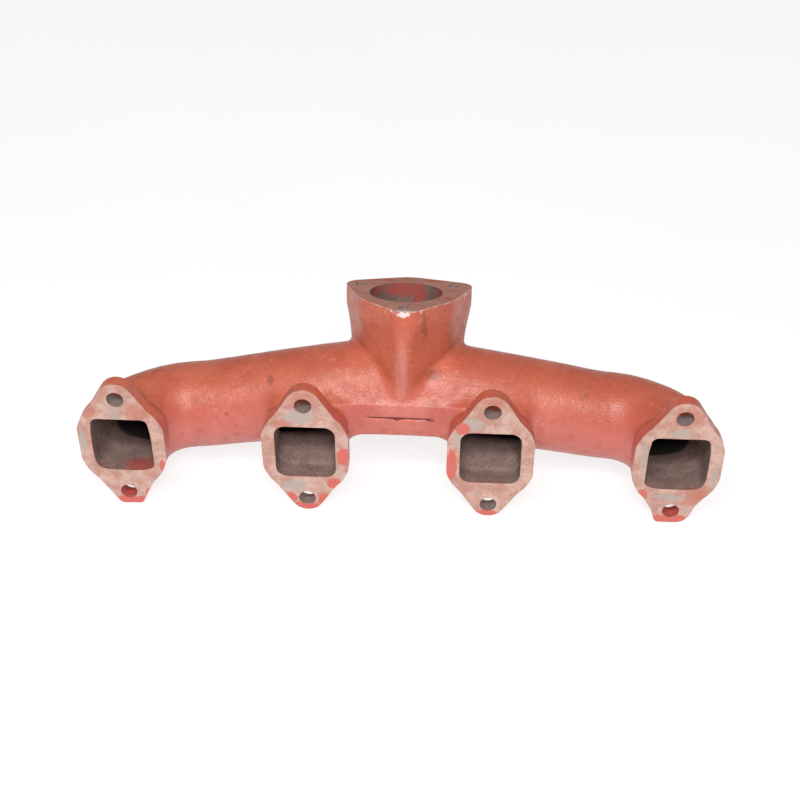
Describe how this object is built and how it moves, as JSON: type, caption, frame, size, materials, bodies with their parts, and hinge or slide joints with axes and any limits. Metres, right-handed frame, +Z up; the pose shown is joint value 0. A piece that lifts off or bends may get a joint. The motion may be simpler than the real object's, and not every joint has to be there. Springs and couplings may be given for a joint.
{
  "type": "exhaust manifold",
  "caption": "Log-style cast exhaust manifold with flanged side ports feeding one tube and a three-bolt outlet neck leaning back from the top centre",
  "frame": {"origin": "centre of the four inner head-bolt holes, on the machined mounting plane", "axes": "+X along the engine through the row of ports, +Y away from the cylinder head, +Z up towards the outlet"},
  "size_m": [0.4094, 0.1039, 0.1412],
  "materials": {
    "painted_casting": "red-oxide primer brushed over rough sand-cast grey iron",
    "machined_port_face": "milled mounting face with thin primer rubbed off; painted edges",
    "machined_outlet_face": "milled outlet face under a thin brown film; painted edges, bare metal along the front rim"
  },
  "bodies": {
    "root": {"port_flange_1": "machined_port_face", "port_flange_2": "machined_port_face", "port_flange_3": "machined_port_face", "port_flange_4": "machined_port_face", "end_elbow_1": "painted_casting", "end_elbow_4": "painted_casting", "runner_1_2": "painted_casting", "runner_3_4": "painted_casting", "branch_2": "painted_casting", "branch_3": "painted_casting", "collector": "painted_casting", "outlet_neck": "painted_casting", "outlet_flange": "machined_outlet_face", "parting_flash": "painted_casting"}
  },
  "joints": []
}
